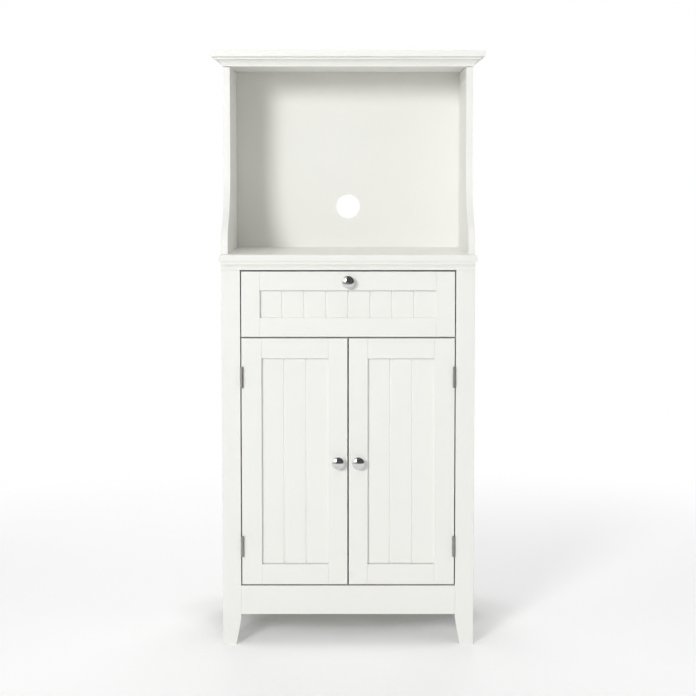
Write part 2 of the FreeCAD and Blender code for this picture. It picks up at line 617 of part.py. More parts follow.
door_leaves = body("left_door_hinge_leaves")
frame_leaves = body("hinge_frame_leaves")
hinge_pins = body("hinge_pins")
for middle in HINGES:
    knuckle = (f"{middle} - size.knuckle / 2", f"{middle} + size.knuckle / 2")
    pad(door_leaves, "XY_Plane", *knuckle, circles=[(PIN_X, PIN_Y, "size.barrel")])
    pad(door_leaves, "XY_Plane", *knuckle, [
        rectangle(f"{DOOR_OUT} - size.leaf_thick", PIN_Y, DOOR_OUT, LEAF_INNER_END)])
    pocket(door_leaves, "XY_Plane", *knuckle, circles=[(PIN_X, PIN_Y, "size.pin + size.pin_play")])
    ends = (f"{middle} - size.hinge_long / 2", f"{middle} + size.hinge_long / 2")
    pad(frame_leaves, "XY_Plane", *ends, circles=[(PIN_X, PIN_Y, "size.barrel")])
    pad(frame_leaves, "XY_Plane", *ends, [
        rectangle(f"-{JAMB}", PIN_Y, f"-{JAMB} + size.leaf_thick", LEAF_END)])
    pocket(frame_leaves, "XY_Plane", f"{middle} - size.knuckle / 2 - size.knuckle_gap",
           f"{middle} + size.knuckle / 2 + size.knuckle_gap", [
               rectangle(f"{PIN_X} - size.barrel - 1", f"{PIN_Y} - size.barrel - 1",
                         f"{PIN_X} + size.barrel + 1", f"{LEAF_INNER_END} + size.leaf_gap")])
    pocket(frame_leaves, "XY_Plane", *ends, circles=[(PIN_X, PIN_Y, "size.pin")])
    pad(hinge_pins, "XY_Plane", *ends, circles=[(PIN_X, PIN_Y, "size.pin")])
PIECES.append(door_leaves)
door_parts.append(door_leaves)
for piece in (frame_leaves, hinge_pins):
    both_sides(piece)
    PIECES.append(piece)

STRIKE_X = "size.catch_off"
strike = board("left_door_strike", f"-{STRIKE_X} - size.strike_wide / 2", f"-{STRIKE_X} + size.strike_wide / 2",
               FRAME_BACK, f"{FRAME_BACK} + size.strike_thick", f"{DIVIDER_LOW} - size.catch_tall", DIVIDER_LOW)
door_parts.append(strike)

for piece in door_parts:
    twin(piece.Label.replace("left", "right"), piece)

catches = body("magnet_catches")
CATCH_FACE = f"({FRAME_BACK} + size.strike_thick + size.catch_gap)"
catch = pad(catches, "XY_Plane", f"{DIVIDER_LOW} - size.catch_tall", DIVIDER_LOW, [
    rectangle(f"-{STRIKE_X} - size.catch_wide / 2", CATCH_FACE,
              f"-{STRIKE_X} + size.catch_wide / 2", f"{CATCH_FACE} + size.catch_deep")])
both_sides(catches, [catch])
PIECES.append(catches)

# ---- the drawer's front ----
FRONT_X = f"({JAMB} - size.hinge_gap)"
FRONT_IN = f"({FRONT_X} - size.drawer_stile)"
left_stile = stile("drawer_front_stile_left", f"-{FRONT_X}", f"-{FRONT_IN}", DRAWER_LOW, DRAWER_TOP)
PIECES.append(left_stile)
twin("drawer_front_stile_right", left_stile)
rails("drawer_front_rails", f"-{FRONT_IN}", FRONT_IN, DRAWER_LOW, DRAWER_TOP, "size.drawer_rail")
beadboard("drawer_front_panel", f"-{FRONT_IN}", FRONT_IN, f"{DRAWER_LOW} + size.drawer_rail",
          f"{DRAWER_TOP} - size.drawer_rail", "size.drawer_boards")
knob("drawer_knob", "0", f"{DRAWER_TOP} - size.knob_drop")

# ---- the drawer's box, with its bottom in grooves ----
BOX = f"({JAMB} - size.runner_space)"
BOX_IN = f"({BOX} - size.box_board)"
RUNNER_LOW = f"({DIVIDER_TOP} + size.runner_lift)"
REAR_AXLE_Z = f"({RUNNER_LOW} + size.sheet_thick + size.track_play + size.roller)"
FRONT_AXLE_Z = f"({RUNNER_LOW} + size.sheet_thick + size.roller_lift + size.roller)"
TRACK_Z = f"({FRONT_AXLE_Z} + size.roller + size.track_play)"
BOX_LOW = f"({REAR_AXLE_Z} - size.web_below)"
BOX_TOP = f"({BOX_LOW} + size.box_tall)"
BOX_END = f"({FRAME_BACK} + size.runner_long - size.box_short)"
SLOT_LOW = f"({BOX_LOW} + size.bottom_lift)"
SLOT_HIGH = f"({SLOT_LOW} + size.bottom_thick)"
RUNNER_START = f"({FRAME_BACK} + size.runner_start)"
RUNNER_END = f"({RUNNER_START} + size.runner_long)"

left_box = board("drawer_side_left", f"-{BOX}", f"-{BOX_IN}", FRAME_BACK, BOX_END, BOX_LOW, BOX_TOP)
pocket(left_box, "XY_Plane", SLOT_LOW, SLOT_HIGH, [
    rectangle(f"-{BOX_IN} - size.groove_deep", FRAME_BACK, f"-{BOX_IN}", BOX_END)])
twin("drawer_side_right", left_box)

for name, front, way in (("drawer_box_front", FRAME_BACK, "+"), ("drawer_back", BOX_END, "-")):
    piece = board(name, f"-{BOX_IN}", BOX_IN, front, f"{front} {way} size.box_board", BOX_LOW, BOX_TOP)
    inner = f"{front} {way} size.box_board"
    pocket(piece, "XY_Plane", SLOT_LOW, SLOT_HIGH, [
        rectangle(f"-{BOX_IN}", inner, BOX_IN, f"{front} {way} (size.box_board - size.groove_deep)")])
EDGE = "(size.groove_deep - size.groove_play)"
board("drawer_bottom", f"-{BOX_IN} - {EDGE}", f"{BOX_IN} + {EDGE}",
      f"{FRAME_BACK} + size.box_board - {EDGE}", f"{BOX_END} - size.box_board + {EDGE}", SLOT_LOW, SLOT_HIGH)

# ---- roller runners: a channel on a batten in the cabinet, an angle on the drawer, a roller on each ----
left_batten = board("runner_batten_left", f"-{INNER}", f"-{JAMB}", FRAME_BACK, PANEL_FACE, DIVIDER_TOP,
                    f"{DIVIDER_TOP} + size.batten_tall")
twin("runner_batten_right", left_batten)
cabinet_runner = body("cabinet_runner_left")
WEB_IN = f"(-{JAMB} + size.sheet_thick)"
ROLLER_NEAR = "(size.sheet_thick + size.roller_play)"
ROLLER_FAR = f"({ROLLER_NEAR} + size.roller_wide)"
AXLE_END = f"({ROLLER_FAR} + size.roller_play + size.axle_cap)"
pad(cabinet_runner, "XZ_Plane", RUNNER_START, RUNNER_END, [[
    (f"-{JAMB}", RUNNER_LOW), (f"-{JAMB} + size.lower_flange", RUNNER_LOW),
    (f"-{JAMB} + size.lower_flange", f"{RUNNER_LOW} + size.sheet_thick"),
    (WEB_IN, f"{RUNNER_LOW} + size.sheet_thick"), (WEB_IN, TRACK_Z),
    (f"-{JAMB} + size.upper_flange", TRACK_Z),
    (f"-{JAMB} + size.upper_flange", f"{TRACK_Z} + size.sheet_thick"),
    (f"-{JAMB}", f"{TRACK_Z} + size.sheet_thick")]])
AXLE = [("0", "0"), ("0", "size.axle"), (f"{ROLLER_FAR} + size.roller_play - size.sheet_thick", "size.axle"),
        (f"{ROLLER_FAR} + size.roller_play - size.sheet_thick", "size.axle_head"),
        (f"{AXLE_END} - size.sheet_thick", "size.axle_head"), (f"{AXLE_END} - size.sheet_thick", "0")]
FRONT_AXLE_Y = f"({RUNNER_START} + size.roller_inset)"
REAR_AXLE_Y = f"({RUNNER_END} - size.roller_inset)"
turned(cabinet_runner, "XY_Plane", FRONT_AXLE_Z, (WEB_IN, FRONT_AXLE_Y), (1, 0), AXLE)
PIECES.append(cabinet_runner)
twin("cabinet_runner_right", cabinet_runner)

drawer_runner = body("drawer_runner_left")
WEB_OUT = f"(-{BOX} - size.sheet_thick)"
pad(drawer_runner, "XZ_Plane", RUNNER_START, RUNNER_END, [[
    (f"-{BOX} + size.lip_flange", f"{BOX_LOW} - size.sheet_thick"), (WEB_OUT, f"{BOX_LOW} - size.sheet_thick"),
    (WEB_OUT, TRACK_Z), (f"-{BOX} - size.track_flange", TRACK_Z),
    (f"-{BOX} - size.track_flange", f"{TRACK_Z} + size.sheet_thick"),
    (f"-{BOX}", f"{TRACK_Z} + size.sheet_thick"), (f"-{BOX}", BOX_LOW),
    (f"-{BOX} + size.lip_flange", BOX_LOW)]])
turned(drawer_runner, "XY_Plane", REAR_AXLE_Z, (WEB_OUT, REAR_AXLE_Y), (-1, 0), AXLE)
PIECES.append(drawer_runner)
twin("drawer_runner_right", drawer_runner)

ROLLER = [("0", "size.axle + size.axle_play"), ("0", "size.roller"), ("size.roller_wide", "size.roller"),
          ("size.roller_wide", "size.axle + size.axle_play")]
cabinet_rollers = body("cabinet_rollers")
turned(cabinet_rollers, "XY_Plane", FRONT_AXLE_Z, (f"-{JAMB} + {ROLLER_NEAR}", FRONT_AXLE_Y), (1, 0), ROLLER)
drawer_rollers = body("drawer_rollers")
turned(drawer_rollers, "XY_Plane", REAR_AXLE_Z, (f"-{BOX} - {ROLLER_NEAR}", REAR_AXLE_Y), (-1, 0), ROLLER)
for piece in (cabinet_rollers, drawer_rollers):
    both_sides(piece)
    PIECES.append(piece)

# ---- check the document and write one file for each piece ----
doc.recompute()
faults = [f"{item.Label}: {state}" for item in doc.Objects for state in item.State
          if state in ("Invalid", "Error")]
for piece in PIECES:
    if piece.Shape.isNull() or not piece.Shape.isValid() or not piece.Shape.Solids:
        faults.append(f"{piece.Label}: no valid solid")
if faults:
    raise SystemExit("\n".join(faults))
os.makedirs("parts", exist_ok=True)
for piece in PIECES:
    piece.Shape.exportStep(f"parts/{piece.Label}.step")
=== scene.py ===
"""Finishes, fittings and a plain studio for the microwave stand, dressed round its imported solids.

Metres. X runs to the right, Y to the back and Z up, as in the solids.
"""
import json
import math

import bmesh
import bpy
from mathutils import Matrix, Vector


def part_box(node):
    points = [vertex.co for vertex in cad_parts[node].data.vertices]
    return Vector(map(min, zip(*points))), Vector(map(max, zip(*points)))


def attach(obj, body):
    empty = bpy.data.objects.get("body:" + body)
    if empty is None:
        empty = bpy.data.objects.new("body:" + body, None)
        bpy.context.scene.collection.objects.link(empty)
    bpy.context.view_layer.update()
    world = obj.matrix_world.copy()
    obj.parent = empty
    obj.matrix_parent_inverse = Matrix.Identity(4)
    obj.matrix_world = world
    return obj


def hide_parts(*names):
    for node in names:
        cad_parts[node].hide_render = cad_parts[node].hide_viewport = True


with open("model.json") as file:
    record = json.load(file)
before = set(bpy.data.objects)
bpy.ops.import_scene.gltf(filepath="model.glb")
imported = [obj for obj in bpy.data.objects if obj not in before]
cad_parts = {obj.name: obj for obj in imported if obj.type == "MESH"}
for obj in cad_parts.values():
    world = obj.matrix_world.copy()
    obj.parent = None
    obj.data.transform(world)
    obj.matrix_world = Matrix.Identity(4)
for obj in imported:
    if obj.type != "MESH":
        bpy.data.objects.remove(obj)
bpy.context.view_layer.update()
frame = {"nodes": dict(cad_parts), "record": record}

# ---- Front legs, side panels and rails --------------------------------------------------------------
# White-painted board and softwood, sanded so that no arris is sharp, then sprayed with satin paint.
# The legs and rails are glued up as a face frame on the front of the side panels.
MILLIMETRE = 0.001
TOUCHING = 1e-6                         # points nearer than this are one
FLAT = 0.5                              # degrees: faces that turn less than this are one
HANDS = (("left", -1), ("right", 1))    # the stand's two sides, each with its sign on X
SPRAY_ROUGHNESS = 0.36
PAINT_WHITE = (0.90, 0.90, 0.862, 1.0)
ARRIS = 0.7 * MILLIMETRE
LONG_ARRIS = 1.0 * MILLIMETRE
EVEN = (1.0, 1.0, 1.0)


def feed(tree, node, socket, value):
    """An input set to a plain value, or linked to a (node, output) pair."""
    if isinstance(value, tuple) and isinstance(value[0], bpy.types.Node):
        source, output = value
        tree.links.new(source.outputs[output], node.inputs[socket])
    else:
        node.inputs[socket].default_value = value


def add(tree, kind, settings=None, **inputs):
    """A node with its settings and its inputs; an input's name has _ for each space."""
    made = tree.nodes.new(kind)
    for name, value in (settings or {}).items():
        setattr(made, name, value)
    for name, value in inputs.items():
        feed(tree, made, name.replace("_", " "), value)
    return made


def new_material(name, **surface):
    """A material, its tree and shader, and the object's coordinates ready to feed."""
    material = bpy.data.materials.new(name)
    material.use_nodes = True
    tree = material.node_tree
    shader = tree.nodes["Principled BSDF"]
    for socket, value in surface.items():
        feed(tree, shader, socket.replace("_", " "), value)
    return material, tree, shader, (add(tree, "ShaderNodeTexCoord"), "Object")


def drawn_out(along, share):
    """The stretch that draws a pattern out along one axis, such as a grain."""
    return tuple(share if axis == along else 1.0 for axis in "XYZ")


def noise(tree, place, scale, stretch=EVEN, detail=3.0, roughness=0.5):
    """Noise on the object's coordinates, drawn out along the axes where the stretch is small."""
    mapping = add(tree, "ShaderNodeMapping", Vector=place, Scale=stretch)
    texture = add(tree, "ShaderNodeTexNoise", Vector=(mapping, "Vector"), Scale=scale, Detail=detail,
                  Roughness=roughness)
    return texture, 0


def shades(tree, factor, stops):
    """A colour ramp on a factor; each stop is (place, colour)."""
    ramp = add(tree, "ShaderNodeValToRGB", Fac=factor)
    while len(ramp.color_ramp.elements) < len(stops):
        ramp.color_ramp.elements.new(0.5)
    for element, (place, colour) in zip(ramp.color_ramp.elements, stops):
        element.position = place
        element.color = colour
    return ramp, "Color"


def spread(tree, factor, low, high):
    """A factor drawn between two values."""
    return add(tree, "ShaderNodeMapRange", Value=factor, To_Min=low, To_Max=high), "Result"


def bump(tree, shader, layers):
    """Bump layers, each (factor, depth in metres), one on top of the other."""
    below = None
    for factor, depth in layers:
        layer = add(tree, "ShaderNodeBump", Height=factor, Strength=1.0, Distance=depth)
        if below:
            feed(tree, layer, "Normal", below)
        below = layer, "Normal"
    feed(tree, shader, "Normal", below)


def tinted(colour, factor):
    """A colour made darker by a factor under one."""
    return tuple(channel * factor for channel in colour[:3]) + (1.0,)


def paint(name, along, colour=PAINT_WHITE, roughness=SPRAY_ROUGHNESS):
    """Satin paint with a faint grain along the board, orange peel and slow clouds of tone."""
    material, tree, shader, place = new_material(name, IOR=1.46)
    clouds = noise(tree, place, scale=5.0)
    grain = noise(tree, place, scale=420.0, stretch=drawn_out(along, 0.04), detail=4.0)
    peel = noise(tree, place, scale=900.0, detail=1.0)
    feed(tree, shader, "Base Color", shades(tree, clouds, [(0.3, tinted(colour, 0.985)), (0.7, colour)]))
    feed(tree, shader, "Roughness", spread(tree, grain, low=roughness - 0.05, high=roughness + 0.07))
    bump(tree, shader, [(grain, 0.018 * MILLIMETRE), (peel, 0.012 * MILLIMETRE)])
    return material


paint_up = paint("paint_grain_up", "Z")
paint_across = paint("paint_grain_across", "X")


def put(name, mesh, material, body, replaces=()):
    """A finished piece with its material, riding on its body."""
    mesh.materials.clear()
    mesh.materials.append(material)
    piece = bpy.data.objects.new(name, mesh)
    bpy.context.scene.collection.objects.link(piece)
    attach(piece, body)
    if replaces:
        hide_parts(*replaces)
    return piece


def soften(piece, width, segments=2, angle=30.0):
    """Rounded arrises, with the flats kept flat in the light."""
    bevel = piece.modifiers.new("arrises", "BEVEL")
    bevel.width = width
    bevel.segments = segments
    bevel.loop_slide = False
    bevel.limit_method = "ANGLE"
    bevel.angle_limit = math.radians(angle)
    normals = piece.modifiers.new("flats", "WEIGHTED_NORMAL")
    normals.keep_sharp = True
    return piece


def body_of(node):
    """The body that a solid rides on."""
    bodies = frame["record"]["behaviour"]["bodies"]
    return next(body for body, nodes in bodies.items() if node in nodes)


def merged(node, cut=False):
    """A copy of a solid's mesh with its triangles joined into whole faces, cut into few if it has holes."""
    mesh = frame["nodes"][node].data.copy()
    made = bmesh.new()
    made.from_mesh(mesh)
    bmesh.ops.remove_doubles(made, verts=made.verts, dist=TOUCHING)
    bmesh.ops.dissolve_limit(made, angle_limit=math.radians(FLAT), verts=made.verts, edges=made.edges)
    if cut:
        bmesh.ops.triangulate(made, faces=[face for face in made.faces if len(face.verts) > 4])
    for face in made.faces:
        face.smooth = True
    made.to_mesh(mesh)
    made.free()
    return mesh


def board(node, material, arris=ARRIS, segments=2, angle=30.0, cut=False):
    """The finished piece for a solid: the same shape with its arrises eased."""
    piece = put(node + "_finished", merged(node, cut), material, body_of(node), [node])
    return soften(piece, arris, segments, angle)


for side, _ in HANDS:
    board("front_leg_" + side, paint_up, arris=LONG_ARRIS, segments=3)
    board("side_panel_" + side, paint_up, cut=True)
for rail in ("apron", "top_rail", "rear_apron"):
    board(rail, paint_across)

# ---- Boards inside the cupboard ---------------------------------------------------------------------
# The cupboard's bottom, the divider under the drawer and a loose shelf, cut from the same white board.
# The shelf lies on four steel pegs pushed into rows of holes in the side panels.
for level in ("bottom_panel", "divider_panel", "shelf"):
    board(level, paint_across, arris=0.5 * MILLIMETRE)


def metal(name, colour, roughness, along="Z"):
    """Plated or turned metal with fine lines along one axis and a little tarnish."""
    material, tree, shader, place = new_material(name, Metallic=1.0)
    lines = noise(tree, place, scale=2600.0, stretch=drawn_out(along, 0.03), detail=2.0)
    tarnish = noise(tree, place, scale=130.0)
    feed(tree, shader, "Base Color", shades(tree, tarnish, [(0.35, tinted(colour, 0.86)), (0.65, colour)]))
    feed(tree, shader, "Roughness", spread(tree, lines, low=roughness - 0.06, high=roughness + 0.1))
    bump(tree, shader, [(lines, 0.006 * MILLIMETRE)])
    return material


zinc = metal("zinc_plate", (0.58, 0.58, 0.57, 1.0), roughness=0.32, along="X")
board("shelf_pins", zinc, arris=0.3 * MILLIMETRE)

# ---- Back panels and their brads --------------------------------------------------------------------
# Thin white-faced panels let into rebates behind the base and the hutch, and held by rows of brads.
# The hutch's panel has a round hole for the oven's cord.
panel_white = paint("back_panel_face", "Z", colour=(0.90, 0.90, 0.865, 1.0), roughness=0.42)
BACK_GAP = 0.8 * MILLIMETRE


def drawn_in(piece, axis, side, depth):
    """The outermost flat face on one side (-1 or 1) of an axis drawn in, to leave a fine gap there."""
    axis = "XYZ".index(axis)
    places = [vertex.co[axis] for vertex in piece.data.vertices]
    end = max(places) if side > 0 else min(places)
    for vertex in piece.data.vertices:
        if abs(vertex.co[axis] - end) < TOUCHING:
            vertex.co[axis] -= side * depth


for back in ("base_back", "hutch_back"):
    drawn_in(board(back, panel_white, arris=0.4 * MILLIMETRE), "Y", -1, BACK_GAP)


def socket_of(tree, name):
    """The identifier of a tree's named input."""
    return next(item.identifier for item in tree.interface.items_tree if item.name == name)


def geometry_tree(name, inputs):
    """An empty tree with a geometry input, named inputs, and a geometry output."""
    tree = bpy.data.node_groups.new(name, "GeometryNodeTree")
    tree.interface.new_socket("Geometry", in_out="INPUT", socket_type="NodeSocketGeometry")
    for label, kind in inputs:
        tree.interface.new_socket(label, in_out="INPUT", socket_type="NodeSocket" + kind)
    tree.interface.new_socket("Geometry", in_out="OUTPUT", socket_type="NodeSocketGeometry")
    return tree, tree.nodes.new("NodeGroupInput"), tree.nodes.new("NodeGroupOutput")


def finish_tree(tree, shape, given, result):
    """The tree's end: real geometry with its material."""
    real = add(tree, "GeometryNodeRealizeInstances", Geometry=shape)
    coat = add(tree, "GeometryNodeSetMaterial", Geometry=(real, "Geometry"), Material=(given, "Material"))
    feed(tree, result, "Geometry", (coat, "Geometry"))


def maths(tree, operation, *terms):
    """The result of a sum, product or the like of numbers and (node, output) pairs."""
    made = add(tree, "ShaderNodeMath", {"operation": operation})
    for place, term in enumerate(terms):
        feed(tree, made, place, term)
    return made, 0


def xyz(tree, **parts):
    """A vector put together from its parts."""
    return add(tree, "ShaderNodeCombineXYZ", **parts), "Vector"


HEAD_SIDES = 20
HEAD_RINGS = 5
HEAD_TOP = 0.62                  # a dome's top radius, as a share of the head's
RECESS_LONG = 1.1                # a recess bar's length, as a share of the head's radius
RECESS_DEEP = (1.1, 1.2)         # the two bars' heights, as shares of the head's


def head_tree(name, cross):
    """Round heads on points, each pointing along its point's aim, with or without a cross recess."""
    tree, given, result = geometry_tree(name, [
        ("Radius", "Float"), ("Height", "Float"), ("Recess", "Float"), ("Material", "Material")])
    radius, height = (given, "Radius"), (given, "Height")
    blank = add(tree, "GeometryNodeMeshCone", Vertices=HEAD_SIDES, Side_Segments=HEAD_RINGS,
                Radius_Bottom=radius, Radius_Top=radius, Depth=height)
    place = add(tree, "GeometryNodeInputPosition"), "Position"
    split = add(tree, "ShaderNodeSeparateXYZ", Vector=place)
    squared = maths(tree, "POWER", maths(tree, "DIVIDE", (split, "Z"), height), 2.0)
    narrowed = spread(tree, squared, low=1.0, high=HEAD_TOP)
    domed = add(tree, "ShaderNodeVectorMath", {"operation": "MULTIPLY"})
    feed(tree, domed, 0, place)
    feed(tree, domed, 1, xyz(tree, X=narrowed, Y=narrowed, Z=1.0))
    head = add(tree, "GeometryNodeSetPosition", Geometry=(blank, "Mesh"), Position=(domed, "Vector")), 0
    if cross:
        cut = add(tree, "GeometryNodeMeshBoolean", {"operation": "DIFFERENCE"}, Mesh_1=head)
        long = maths(tree, "MULTIPLY", radius, RECESS_LONG)
        for share, (length, width) in zip(RECESS_DEEP, ("XY", "YX")):
            deep = maths(tree, "MULTIPLY", height, share)
            size = xyz(tree, **{length: long, width: (given, "Recess"), "Z": deep})
            bar = add(tree, "GeometryNodeMeshCube", Size=size)
            raised = add(tree, "GeometryNodeTransform", Geometry=(bar, "Mesh"),
                         Translation=xyz(tree, Z=height))
            feed(tree, cut, "Mesh 2", (raised, "Geometry"))
        head = cut, 0
    aim = add(tree, "GeometryNodeInputNamedAttribute", {"data_type": "FLOAT_VECTOR"}, Name="aim")
    turn = add(tree, "FunctionNodeAlignRotationToVector", {"axis": "Z"}, Vector=(aim, "Attribute"))
    spots = add(tree, "GeometryNodeInstanceOnPoints", Points=(given, "Geometry"), Instance=head,
                Rotation=(turn, "Rotation"))
    finish_tree(tree, (spots, "Instances"), given, result)
    return tree


brad_tree = head_tree("brads", cross=False)


def grown(name, mesh, tree, values, material, body):
    """What a tree grows on a mesh, as a plain mesh of its own on its body."""
    seed = bpy.data.objects.new(name + "_seed", mesh)
    bpy.context.scene.collection.objects.link(seed)
    modifier = seed.modifiers.new(name, "NODES")
    modifier.node_group = tree
    for label, value in {**values, "Material": material}.items():
        modifier[socket_of(tree, label)] = value
    bpy.context.view_layer.update()
    result = bpy.data.meshes.new_from_object(seed.evaluated_get(bpy.context.evaluated_depsgraph_get()))
    seed.modifiers.remove(modifier)
    bpy.data.objects.remove(seed)
    return put(name, result, material, body)


def heads(name, tree, spots, aim, body, radius, height, recess=0.0, material=zinc):
    """Screw or brad heads at these places, all pointing one way."""
    mesh = bpy.data.meshes.new(name + "_points")
    mesh.from_pydata([Vector(spot) for spot in spots], [], [])
    arrow = mesh.attributes.new("aim", "FLOAT_VECTOR", "POINT")
    for item in arrow.data:
        item.vector = aim
    values = {"Radius": radius, "Height": height, "Recess": recess}
    return grown(name, mesh, tree, values, material, body)


def row(start, end, count):
    """Evenly spaced places from one end to the other."""
    start, end = Vector(start), Vector(end)
    return [start.lerp(end, step / (count - 1)) for step in range(count)]


BRAD_INSET = 4 * MILLIMETRE
BRAD_FROM_END = 12 * MILLIMETRE
BRAD_PITCH = 90 * MILLIMETRE
BRADS_ACROSS = 7
for back in ("base_back", "hutch_back"):
    low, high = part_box(back)
    left, right, face = low.x + BRAD_INSET, high.x - BRAD_INSET, high.y
    foot, head = low.z + BRAD_FROM_END, high.z - BRAD_FROM_END
    uprights = round((head - foot) / BRAD_PITCH) + 1
    brad_spots = row((left, face, foot), (left, face, head), uprights)
    brad_spots += row((right, face, foot), (right, face, head), uprights)
    brad_spots += row((left, face, head), (right, face, head), BRADS_ACROSS)[1:-1]
    heads(back + "_brads", brad_tree, brad_spots, (0, 1, 0), "stand",
          radius=1.7 * MILLIMETRE, height=0.35 * MILLIMETRE)

# ---- Counter ----------------------------------------------------------------------------------------
# A solid board over the base, its upper edge rounded, with a coved moulding glued under its nose.
# It is sprayed a shade glossier, because the oven stands on it.
counter_paint = paint("counter_paint", "X", roughness=0.3)
board("counter_top", counter_paint, arris=0.8 * MILLIMETRE)
board("counter_moulding", paint_across, arris=0.4 * MILLIMETRE)

# ---- Hutch ------------------------------------------------------------------------------------------
# Two sides with S-curved front edges stand on dowels in the counter, and a thick top lies across them.
# Cams turned with a screwdriver draw the sides up to the top on steel bolts.
TOP_GAP = 1.2 * MILLIMETRE
for side, _ in HANDS:
    drawn_in(board("hutch_side_" + side, paint_up, arris=LONG_ARRIS, segments=3), "Z", 1, TOP_GAP)
board("hutch_top", paint_across)


def wood(name, along):
    """Bare softwood: pale bands along the grain with fine dark pores."""
    material, tree, shader, place = new_material(name, Roughness=0.62)
    drawn = drawn_out(along, 0.05)
    bands = noise(tree, place, scale=90.0, stretch=drawn, detail=5.0, roughness=0.6)
    pores = noise(tree, place, scale=900.0, stretch=drawn, detail=2.0)
    tone = shades(tree, bands, [(0.3, (0.55, 0.38, 0.22, 1)), (0.55, (0.70, 0.52, 0.33, 1)),
                                (0.75, (0.76, 0.60, 0.41, 1))])
    feed(tree, shader, "Base Color", tone)
    bump(tree, shader, [(bands, 0.04 * MILLIMETRE), (pores, 0.02 * MILLIMETRE)])
    return material


softwood_up = wood("softwood_grain_up", "Z")
board("dowels", softwood_up, arris=0.4 * MILLIMETRE)
board("cam_bolts", zinc, arris=0.2 * MILLIMETRE)
CAM_SUNK = 3.2 * MILLIMETRE
CAM_RIM = 0.4 * MILLIMETRE
cams = board("cam_locks", zinc, arris=0.3 * MILLIMETRE)
cam_face = min(abs(vertex.co.x) for vertex in cams.data.vertices)
for vertex in cams.data.vertices:
    if abs(abs(vertex.co.x) - cam_face) < TOUCHING:
        vertex.co.x += math.copysign(CAM_SUNK, vertex.co.x)
cam_low, cam_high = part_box("cam_locks")
cam_radius = (cam_high.z - cam_low.z) / 2
cam_level = (cam_high.z + cam_low.z) / 2
screw_tree = head_tree("cross_head_screws", cross=True)


def side_of(node, sign):
    """Where a solid ends on the right (1) or on the left (-1)."""
    low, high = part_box(node)
    return high.x if sign > 0 else low.x


for side, sign in HANDS:
    sunk = side_of("hutch_side_" + side, -sign) + sign * CAM_SUNK
    cam_spots = [(sunk, y, cam_level) for y in (cam_low.y + cam_radius, cam_high.y - cam_radius)]
    heads("cam_faces_" + side, screw_tree, cam_spots, (-sign, 0, 0), "stand",
          radius=cam_radius - CAM_RIM, height=0.4 * MILLIMETRE, recess=1.6 * MILLIMETRE)

# ---- Cornice ----------------------------------------------------------------------------------------
# A coved moulding runs round the front and both sides, mitred at the corners and glued to the hutch top.
# A board that overhangs the moulding lies over it, its upper and lower edges lightly rounded.
paint_deep = paint("paint_grain_deep", "Y")
for part in ("front", "left", "right"):
    grained = paint_across if part == "front" else paint_deep
    board("cornice_moulding_" + part, grained, arris=0.35 * MILLIMETRE)
board("cornice_board", paint_across, arris=0.4 * MILLIMETRE)

# ---- Doors' and drawer's frames ---------------------------------------------------------------------
# Each front is a white-painted frame of two stiles and two rails, glued with stub tenons in its grooves.
# The joints stay just visible as fine lines under the paint.
JOINT = 0.9 * MILLIMETRE
for side, _ in HANDS:
    for upright in ("hinge_stile", "meeting_stile"):
        board(f"{side}_door_{upright}", paint_up, arris=JOINT)
    board(f"{side}_door_rails", paint_across, arris=JOINT)
    board("drawer_front_stile_" + side, paint_up, arris=JOINT)
board("drawer_front_rails", paint_across, arris=JOINT)

# ---- Beadboard panels -------------------------------------------------------------------------------
# Thin white-painted panels with soft-shouldered grooves that split them into equal boards.
# Each floats in the grooves of its frame, free to move.
GROOVE_WIDE = 4.6 * MILLIMETRE
GROOVE_DEEP = 2.3 * MILLIMETRE
HIDDEN_EDGE = 7.5 * MILLIMETRE    # how far a panel goes into its frame
COLUMN = 0.45 * MILLIMETRE        # about the width of a column of the face's mesh
RIM_WIDE = 1.6 * MILLIMETRE       # the eased edge along a rail
RIM_DEEP = 1.8 * MILLIMETRE


